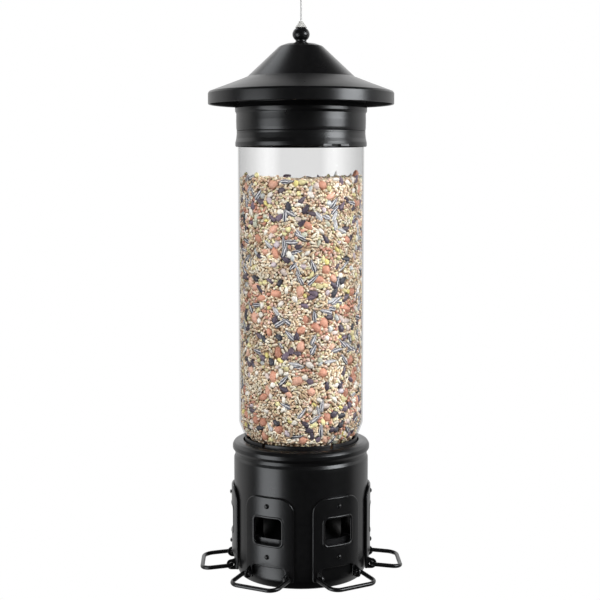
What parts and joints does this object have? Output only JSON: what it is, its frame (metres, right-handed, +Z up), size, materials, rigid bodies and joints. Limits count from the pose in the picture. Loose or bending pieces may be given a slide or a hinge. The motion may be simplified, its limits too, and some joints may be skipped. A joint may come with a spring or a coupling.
{
  "type": "hanging bird feeder",
  "caption": "Hanging tube seed feeder: lift-up roof on a cable, clear seed tube, and a sprung metal shroud with feeding ports and fold-up wire perches.",
  "frame": {"origin": "where the feeder hangs: the inside of the hanging loop's top, on the feeder's vertical axis", "axes": "+Z up along the cable and the tube's axis; +X through the centre of the first feeding port; the front is -Y"},
  "size_m": [0.1956, 0.1874, 0.6407],
  "materials": {
    "black_powder_coat": "satin powder coat",
    "black_plastic": "moulded, lightly glossy",
    "clear_plastic": "clear, polished",
    "pale_plastic": "moulded",
    "bare_steel": "zinc plated",
    "steel_cable": "stranded wire"
  },
  "bodies": {
    "reservoir": {"seed_tube": "clear_plastic", "top_band": "black_powder_coat", "cross_bar": "bare_steel", "cable_anchor": "bare_steel", "hanger_cable": "steel_cable", "cable_ferrule": "bare_steel", "hanging_loop": "steel_cable"},
    "roof": {"roof_shell": "black_powder_coat", "cap_collar": "black_powder_coat", "finial": "black_powder_coat", "finial_bushing": "pale_plastic", "finial_nut": "bare_steel"},
    "hopper": {"neck_ring": "black_plastic", "hopper_wall": "black_plastic", "seed_cone": "black_plastic", "seed_tray_1": "black_plastic", "seed_tray_2": "black_plastic", "seed_tray_3": "black_plastic", "seed_tray_4": "black_plastic", "seed_tray_5": "black_plastic", "seed_tray_6": "black_plastic", "centre_post": "bare_steel", "hub_nut": "bare_steel", "stop_collar": "black_powder_coat", "spring_seat": "bare_steel", "post_nut": "bare_steel", "return_spring": "bare_steel"},
    "shroud": {"base_shell": "black_powder_coat", "base_pan": "black_powder_coat", "port_plate_1": "black_powder_coat", "port_plate_2": "black_powder_coat", "port_plate_3": "black_powder_coat", "port_plate_4": "black_powder_coat", "port_plate_5": "black_powder_coat", "port_plate_6": "black_powder_coat", "upper_rivet_1": "black_powder_coat", "upper_rivet_2": "black_powder_coat", "upper_rivet_3": "black_powder_coat", "upper_rivet_4": "black_powder_coat", "upper_rivet_5": "black_powder_coat", "upper_rivet_6": "black_powder_coat", "lower_rivet_1": "black_powder_coat", "lower_rivet_2": "black_powder_coat", "lower_rivet_3": "black_powder_coat", "lower_rivet_4": "black_powder_coat", "lower_rivet_5": "black_powder_coat", "lower_rivet_6": "black_powder_coat"},
    "perch_1": {"perch_1": "black_powder_coat"},
    "perch_2": {"perch_2": "black_powder_coat"},
    "perch_3": {"perch_3": "black_powder_coat"},
    "perch_4": {"perch_4": "black_powder_coat"},
    "perch_5": {"perch_5": "black_powder_coat"},
    "perch_6": {"perch_6": "black_powder_coat"}
  },
  "joints": [
    {"name": "roof_lift", "type": "slide", "parent": "reservoir", "child": "roof", "axis": [0, 0, 1], "range_m": [0, 0.06]},
    {"name": "hopper_turn", "type": "hinge", "parent": "reservoir", "child": "hopper", "pos_m": [0, 0, -0.51975], "axis": [0, 0, 1], "range_deg": [0, 20]},
    {"name": "shroud_drop", "type": "slide", "parent": "hopper", "child": "shroud", "axis": [0, 0, -1], "range_m": [0, 0.027], "stiffness_N_per_m": 100, "springref_m": -0.12, "deforming": ["return_spring"]},
    {"name": "perch_1_fold", "type": "hinge", "parent": "shroud", "child": "perch_1", "pos_m": [0.0675, 0, -0.62575], "axis": [0, -1, 0], "range_deg": [0, 80]},
    {"name": "perch_2_fold", "type": "hinge", "parent": "shroud", "child": "perch_2", "pos_m": [0.03375, 0.05846, -0.62575], "axis": [0.866, -0.5, 0], "range_deg": [0, 80]},
    {"name": "perch_3_fold", "type": "hinge", "parent": "shroud", "child": "perch_3", "pos_m": [-0.03375, 0.05846, -0.62575], "axis": [0.866, 0.5, 0], "range_deg": [0, 80]},
    {"name": "perch_4_fold", "type": "hinge", "parent": "shroud", "child": "perch_4", "pos_m": [-0.0675, 0, -0.62575], "axis": [0, 1, 0], "range_deg": [0, 80]},
    {"name": "perch_5_fold", "type": "hinge", "parent": "shroud", "child": "perch_5", "pos_m": [-0.03375, -0.05846, -0.62575], "axis": [-0.866, 0.5, 0], "range_deg": [0, 80]},
    {"name": "perch_6_fold", "type": "hinge", "parent": "shroud", "child": "perch_6", "pos_m": [0.03375, -0.05846, -0.62575], "axis": [-0.866, -0.5, 0], "range_deg": [0, 80]}
  ]
}
